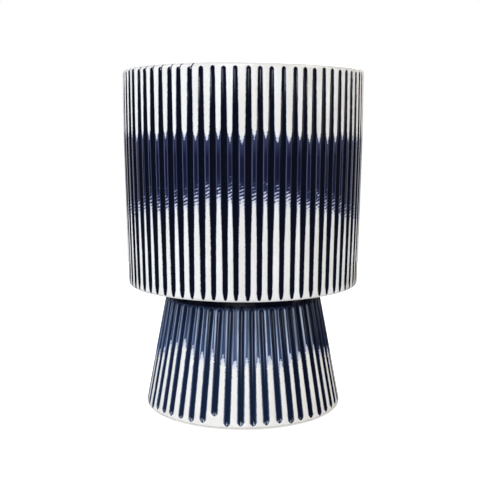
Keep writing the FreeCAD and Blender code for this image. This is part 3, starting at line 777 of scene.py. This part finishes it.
def foot_glaze(look, size):
    """Navy glaze running into white on the foot, and bare clay under it.

    The navy was poured over the top and ran down. It breaks to steel blue on the ridges, which is partly a
    painted highlight, carries painted highlights as pale lines along their flanks, and ends on each ridge
    in a frayed point, below which the white shows. Painted shade darkens it on the right and on the plain
    collar under the drum. It gleams in the flutes, and less on the plain collar. The base was wiped clean
    and fired bare.
    """
    material, node = new_material("glazed_stoneware_foot")
    mm = millimetres(node)
    height = node("SeparateXYZ", (mm,), out="Z")
    edge, fade, tone, highlight_lines, highlight_width, right_shade, bare = (
        node("Attribute", out="Fac", attribute_name=name)
        for name in ("flute_edge", "fade", "ridge_tone", "highlight_lines", "highlight_width", "right_shade", "bare")
    )
    clouds, wobble, pinholes, strokes = glaze_noises(node, mm, cloud_size=20.0)
    # Streaks along the ridges, about 0.9 mm wide and 30 mm long, on a foot of 60 mm radius. They break
    # up the steel blue and the painted highlight lines.
    run_width, run_length, foot_radius = 0.9, 30.0, 60.0
    level = node("VectorMath", (mm, (1.0, 1.0, 0.0)), operation="MULTIPLY")
    level = node("VectorMath", (level,), operation="NORMALIZE")
    level = node("VectorMath", {0: level, "Scale": foot_radius / run_width}, operation="SCALE")
    upright = node("VectorMath", (mm, (0.0, 0.0, 1 / run_length)), operation="MULTIPLY")
    upright = node("VectorMath", (level, upright), operation="ADD")
    ridge_streaks = node("TexNoise", {"Vector": upright, "Scale": 1.0, "Detail": 2.0}, out="Fac")

    # Depth below the navy's end, and how far inside the white a place lies, in mm.
    end_play, edge_play, pinhole_play, soft = 3.0, 0.5, 0.4, 0.16
    below = node("Math", (fade, height), operation="SUBTRACT")
    below = roughened(node, below, (wobble, end_play))
    back = node("MapRange", (below, 0.0, 7.0, 1.35, 0.36))
    begin = node("MapRange", (below, -48.0, 2.0, 20.0, 0.0))
    back = node("Math", (back, begin), operation="ADD")
    coat = node("Math", (edge, back), operation="SUBTRACT")
    fray = node("MapRange", (below, 2.0, 16.0, 3.6, 0.2))
    coat = roughened(node, coat, (strokes, fray), (wobble, edge_play), (pinholes, pinhole_play))
    white = node("MapRange", (coat, -soft, soft), interpolation_type="SMOOTHSTEP")
    thin = node("MapRange", (coat, 0.0, 0.6, 0.45, 0.0))
    hazy = node("MapRange", (below, 0.0, 8.0, 0.75, 0.0))
    specks = iron_specks(node, mm)
    pale = white_glaze(node, look, clouds, tone, least=0.5)
    for amount, tint in ((thin, look.shade), (hazy, look.haze), (specks, look.speck)):
        pale = node("Mix", {0: amount, 6: pale, 7: tint}, out=2, data_type="RGBA")

    # Steel blue on the ridges' edges, in streaks: partly the navy breaking thin, partly a painted highlight.
    # It is less on the right, under the painted shade there, and beside the white.
    tips = (size.top_height - size.collar) * MM_PER_METRE
    right_shade_strength = 0.85
    raised = node("MapRange", (edge, -0.7, 0.1), interpolation_type="SMOOTHSTEP")
    fluted = node("MapRange", (height, tips - 2.3, tips + 0.2, 1.0, 0.0))
    on_ridge = node("Math", (raised, fluted), operation="MULTIPLY")
    # Painted shade on the right: less steel blue, darker pooled navy and less gleam there.
    unshaded = node("Math", (right_shade, -right_shade_strength, 1.0), operation="MULTIPLY_ADD")
    highlight_streak = node("MapRange", (ridge_streaks, 0.38, 0.6, 0.3))
    beside_white = node("MapRange", (below, 1.0, 9.0, 1.0, 0.3))
    break_and_highlight = node("MapRange", (edge, 0.15, 1.1, 1.0, 0.25))
    for part in (highlight_streak, unshaded, beside_white):
        break_and_highlight = node("Math", (break_and_highlight, part), operation="MULTIPLY")

    # Painted highlights lie as pale lines beside the flutes. They start below the collar, come and go, and
    # fade beside the white.
    line_place = 0.7
    line = node("Math", (edge, highlight_width), operation="DIVIDE")
    line = node("Math", (line, line_place), operation="SUBTRACT")
    line = node("Math", (line,), operation="ABSOLUTE")
    line = node("MapRange", (line, 0.2, 0.8, 1.0, 0.0))
    patchy = node("MapRange", (ridge_streaks, 0.35, 0.6, 0.35))
    begin = node("MapRange", (height, tips - 3.1, tips - 1.3, 1.0, 0.0))
    end = node("MapRange", (below, 0.0, 10.0, 1.0, 0.2))
    for part in (highlight_lines, patchy, begin, end):
        line = node("Math", (line, part), operation="MULTIPLY")
    # Ridge colours: painted shade darkens them to navy on the right, the steel blue is partly a painted
    # highlight, and the pale lines are a painted highlight.
    ridge = look.foot_navy
    for amount, tint in ((right_shade, look.navy), (break_and_highlight, look.steel_and_highlight), (line, look.foot_highlight)):
        ridge = node("Mix", {0: amount, 6: ridge, 7: tint}, out=2, data_type="RGBA")
    # Painted shade: on the collar under the drum and on the right, the flutes and the collar take the darker
    # ink instead of the foot's pooled navy.
    pool_and_shade = node("Math", (fluted, unshaded), operation="MULTIPLY")
    pool_and_shade = node("Mix", {0: pool_and_shade, 6: look.ink_and_shade, 7: look.foot_ink}, out=2, data_type="RGBA")
    dark = node("Mix", {0: on_ridge, 6: pool_and_shade, 7: ridge}, out=2, data_type="RGBA")
    colour = node("Mix", {0: white, 6: dark, 7: pale}, out=2, data_type="RGBA")

    flute_roughness, collar_gloss = 0.06, 0.1
    sheen = node("MapRange", (clouds, 0.3, 0.7, 0.1, 0.22))
    sheen = node("Mix", {0: raised, 2: flute_roughness, 3: sheen})
    wet = node("MapRange", (height, 5.0, 11.0, 1.0, 0.5))
    wet = node("Math", (wet, unshaded), operation="MULTIPLY")
    dry = node("MapRange", (right_shade, 0.0, 1.0, 0.5, 0.2))
    gloss = node("Mix", {0: on_ridge, 2: wet, 3: dry})
    gloss = node("Mix", {0: fluted, 2: collar_gloss, 3: gloss})

    # Bare clay: matt, with sandy grains of about 0.7 mm that stand up a little.
    grain, grain_height, clay_roughness = 0.7, 0.12, 0.85
    grit = node("TexNoise", {"Vector": mm, "Scale": 1 / grain, "Detail": 3.0}, out="Fac")
    clay = node("Mix", {0: grit, 6: look.clay, 7: look.clay_dark}, out=2, data_type="RGBA")
    raw = node("MapRange", (bare, 0.45, 0.55))
    colour = node("Mix", {0: raw, 6: colour, 7: clay}, out=2, data_type="RGBA")
    sheen = node("Mix", {0: raw, 2: sheen, 3: clay_roughness})
    grit = node("Math", (grit, grain_height), operation="MULTIPLY")
    relief = node("Mix", {0: raw, 2: glaze_relief(node, white, pinholes), 3: grit})
    normal = node("Bump", {"Height": relief, "Strength": 0.7, "Distance": 1 / MM_PER_METRE})
    surface = node(
        "BsdfPrincipled",
        {
            "Base Color": colour,
            "Roughness": sheen,
            "Normal": normal,
            "IOR": GLAZE_IOR,
            "Specular IOR Level": gloss,
        },
    )
    node("OutputMaterial", {"Surface": surface})
    return material


def slip_glaze(look):
    """Joining slip under pooled navy glaze: glossy, almost black, with soft lumps left by the brush."""
    lump, lump_height = 4.0, 0.2
    material, node = new_material("glazed_joining_slip")
    mm = millimetres(node)
    lumps = node("TexNoise", {"Vector": mm, "Scale": 1 / lump, "Detail": 2.0}, out="Fac")
    colour = node("Mix", {0: lumps, 6: look.ink_and_shade, 7: look.navy}, out=2, data_type="RGBA")
    sheen = node("MapRange", (lumps, 0.3, 0.7, 0.12, 0.3))
    normal = node("Bump", {"Height": lumps, "Strength": 0.6, "Distance": lump_height / MM_PER_METRE})
    surface = node(
        "BsdfPrincipled", {"Base Color": colour, "Roughness": sheen, "Normal": normal, "IOR": GLAZE_IOR}
    )
    node("OutputMaterial", {"Surface": surface})
    return material


def wool_felt(look):
    """Pressed wool felt: matt, grey, matted from fibres that lie every way and catch the light.

    Fibres are too fine to show, so their mat is drawn in tufts of about 0.5 mm.
    """
    tuft, tuft_height, patch = 0.5, 0.25, 3.0
    material, node = new_material("pressed_wool_felt")
    mm = millimetres(node)
    tufts = node("TexNoise", {"Vector": mm, "Scale": 1 / tuft, "Detail": 4.0, "Distortion": 1.5}, out="Fac")
    patches = node("TexNoise", {"Vector": mm, "Scale": 1 / patch, "Detail": 1.0}, out="Fac")
    mixed = node("Math", (tufts, patches), operation="MULTIPLY")
    mixed = node("MapRange", (mixed, 0.15, 0.4))
    colour = node("Mix", {0: mixed, 6: look.felt, 7: look.felt_pale}, out=2, data_type="RGBA")
    normal = node("Bump", {"Height": tufts, "Strength": 0.8, "Distance": tuft_height / MM_PER_METRE})
    surface = node(
        "BsdfPrincipled", {"Base Color": colour, "Roughness": 0.95, "Normal": normal, "Sheen Weight": 0.3}
    )
    node("OutputMaterial", {"Surface": surface})
    return material


def ways_of_seeing(node):
    """Whether the camera sees a thing, straight or through glass, and whether the glaze mirrors it."""
    camera = node("LightPath", out="Is Camera Ray")
    through = node("LightPath", out="Is Transmission Ray")
    mirrored = node("LightPath", out="Is Glossy Ray")
    return node("Math", (camera, through), operation="MAXIMUM"), mirrored


def studio_paper(look):
    """White studio paper: matt, lifted to white where the camera sees it, and dim where it is mirrored."""
    material, node = new_material("studio_paper")
    seen, mirrored = ways_of_seeing(node)
    lift = node("Math", (seen, look.paper_lift), operation="MULTIPLY")
    tone = node("Mix", {0: mirrored, 6: look.paper, 7: look.paper_dim}, out=2, data_type="RGBA")
    paper = node("BsdfDiffuse", {"Color": tone})
    glow = node("Emission", {"Strength": lift})
    surface = node("AddShader", (paper, glow))
    node("OutputMaterial", {"Surface": surface})
    return material


def studio_room(stage):
    """White room: dim light from all round, but white to the camera, and behind the pot to the glaze."""
    world = bpy.data.worlds.new("studio_room")
    world.use_nodes = True
    world.node_tree.nodes.clear()
    node = partial(add, world.node_tree)
    seen, mirrored = ways_of_seeing(node)
    bearing = node("SeparateXYZ", (node("TexCoord", out="Generated"),), out="Y")
    behind = node("MapRange", (bearing, 0.25, 0.85))
    behind = node("Math", (mirrored, behind), operation="MULTIPLY")
    seen = node("Math", (seen, behind), operation="MAXIMUM")
    shine = node("Mix", {0: mirrored, 2: stage.room_light, 3: stage.room_light * stage.room_shine})
    level = node("Mix", {0: seen, 2: shine, 3: 1.0})
    room = node("Background", {"Color": (1.0, 1.0, 1.0, 1.0), "Strength": level})
    node("OutputWorld", {"Surface": room})
    return world


def add_softbox(name, place, target, reach, watts, tint):
    """Adds a rectangular lamp at a place, aimed at a target."""
    lamp = bpy.data.lights.new(name, "AREA")
    lamp.shape = "RECTANGLE"
    lamp.size, lamp.size_y = reach
    lamp.energy = watts
    lamp.color = tint[:3]
    holder = bpy.data.objects.new(name, lamp)
    holder.location = place
    holder.rotation_euler = (Vector(target) - Vector(place)).to_track_quat("-Z", "Y").to_euler()
    bpy.context.scene.collection.objects.link(holder)


class CACHEPOT_OT_drum(bpy.types.Operator):
    """Builds the fluted, glazed drum in place of the CAD drum"""

    bl_idname = "cachepot.drum"
    bl_label = "Build the drum"

    def execute(self, context):
        size, look = context.scene.cachepot_drum, context.scene.cachepot_look
        rings, values = drum_grid(size, look, np.random.default_rng(SEED_DRUM))
        piece = put_mesh("glazed_drum", rings, False, values)
        piece.data.materials.append(drum_glaze(look, size))
        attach(piece, BODY)
        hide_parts("drum")
        return {"FINISHED"}


class CACHEPOT_OT_foot(bpy.types.Operator):
    """Builds the fluted, glazed foot in place of the CAD foot"""

    bl_idname = "cachepot.foot"
    bl_label = "Build the foot"

    def execute(self, context):
        size, look = context.scene.cachepot_foot, context.scene.cachepot_look
        rings, values = foot_grid(size, look, np.random.default_rng(SEED_FOOT))
        piece = put_mesh("glazed_foot", rings, True, values)
        piece.data.materials.append(foot_glaze(look, size))
        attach(piece, BODY)
        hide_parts("foot")
        return {"FINISHED"}


class CACHEPOT_OT_seam(bpy.types.Operator):
    """Glazes the CAD ring of joining slip"""

    bl_idname = "cachepot.seam"
    bl_label = "Glaze the joining slip"

    def execute(self, context):
        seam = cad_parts["slip_seam"].data
        seam.materials.clear()
        seam.materials.append(slip_glaze(context.scene.cachepot_look))
        return {"FINISHED"}


class CACHEPOT_OT_pads(bpy.types.Operator):
    """Gives the CAD pads their felt"""

    bl_idname = "cachepot.pads"
    bl_label = "Felt the pads"

    def execute(self, context):
        felt = wool_felt(context.scene.cachepot_look)
        for name in PADS:
            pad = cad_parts[name].data
            pad.materials.clear()
            pad.materials.append(felt)
        return {"FINISHED"}


class CACHEPOT_OT_stage(bpy.types.Operator):
    """Lays the floor and sets up the lamps and the camera"""

    bl_idname = "cachepot.stage"
    bl_label = "Set the stage"

    def execute(self, context):
        scene = context.scene
        stage, look = scene.cachepot_stage, scene.cachepot_look
        around = np.linspace(0, 2 * pi, FLOOR_SIDES + 1)[:-1]
        outline = turned(np.full(FLOOR_SIDES, stage.floor_reach), 0.0, around)
        mesh = bpy.data.meshes.new("studio_floor")
        mesh.from_pydata(outline.tolist(), [], [list(range(FLOOR_SIDES))])
        mesh.materials.append(studio_paper(look))
        floor = bpy.data.objects.new("studio_floor", mesh)
        scene.collection.objects.link(floor)
        scene.world = studio_room(stage)

        lamps = (
            ("left_softbox", (-0.95, -0.35, 0.85), (0.5, 0.5), stage.left_power, look.cool_light),
            ("right_softbox", (0.95, -0.3, 0.85), (0.5, 0.5), stage.right_power, look.warm_light),
            ("top_softbox", (-0.1, -0.8, 0.95), (0.6, 0.6), stage.top_power, look.cool_light),
            ("left_panel", (-2.0, -0.3, 0.8), (1.6, 0.95), stage.panel_power, look.cool_light),
            ("right_window", (2.0, -0.25, 0.21), (0.25, 0.18), stage.window_power, look.warm_light),
            ("front_panel", (-0.4, -2.15, 0.8), (1.0, 0.8), stage.front_power, look.cool_light),
            ("front_strip", (0.25, -2.15, 0.33), (0.8, 0.16), stage.strip_power, look.cool_light),
            ("back_softbox", (0.3, 1.1, 0.9), (0.6, 0.6), stage.back_power, look.cool_light),
        )
        for name, place, reach, watts, tint in lamps:
            add_softbox(name, place, (0, 0, stage.lamp_aim), reach, watts, tint)

        lens = bpy.data.cameras.new("camera")
        lens.lens = stage.lens
        lens.sensor_width = 36
        lens.clip_start = 0.01
        camera = bpy.data.objects.new("camera", lens)
        camera.location = (-stage.camera_side, -stage.camera_distance, stage.camera_height)
        camera.rotation_euler = (pi / 2 - stage.camera_tilt, 0, 0)
        scene.collection.objects.link(camera)
        scene.camera = camera
        scene.view_settings.view_transform = "Standard"
        return {"FINISHED"}


class CACHEPOT_PT_sidebar(bpy.types.Panel):
    """Lists the steps and the sizes of the cachepot"""

    bl_label = "Fluted cachepot"
    bl_idname = "CACHEPOT_PT_sidebar"
    bl_space_type = "VIEW_3D"
    bl_region_type = "UI"
    bl_category = "Cachepot"

    def draw(self, context):
        for step in STEPS:
            self.layout.operator(step.bl_idname)
        for key, group in GROUPS.items():
            box = self.layout.box()
            for name in group.__annotations__:
                box.prop(getattr(context.scene, key), name)


STEPS = (CACHEPOT_OT_drum, CACHEPOT_OT_foot, CACHEPOT_OT_seam, CACHEPOT_OT_pads, CACHEPOT_OT_stage)
GROUPS = {
    "cachepot_drum": CachepotDrumSizes,
    "cachepot_foot": CachepotFootSizes,
    "cachepot_look": CachepotGlazeLook,
    "cachepot_stage": CachepotStageSizes,
}


def register():
    """Registers the classes and hangs the settings on the scene."""
    for made in (*GROUPS.values(), *STEPS, CACHEPOT_PT_sidebar):
        bpy.utils.register_class(made)
    for key, group in GROUPS.items():
        setattr(bpy.types.Scene, key, PointerProperty(type=group))


def unregister():
    """Takes the settings off the scene and unregisters the classes."""
    for key in GROUPS:
        delattr(bpy.types.Scene, key)
    for made in (CACHEPOT_PT_sidebar, *reversed(STEPS), *GROUPS.values()):
        bpy.utils.unregister_class(made)


def main():
    """Builds the cachepot step by step."""
    register()
    bpy.ops.cachepot.drum()
    bpy.ops.cachepot.foot()
    bpy.ops.cachepot.seam()
    bpy.ops.cachepot.pads()
    bpy.ops.cachepot.stage()


if __name__ == "__main__":
    main()
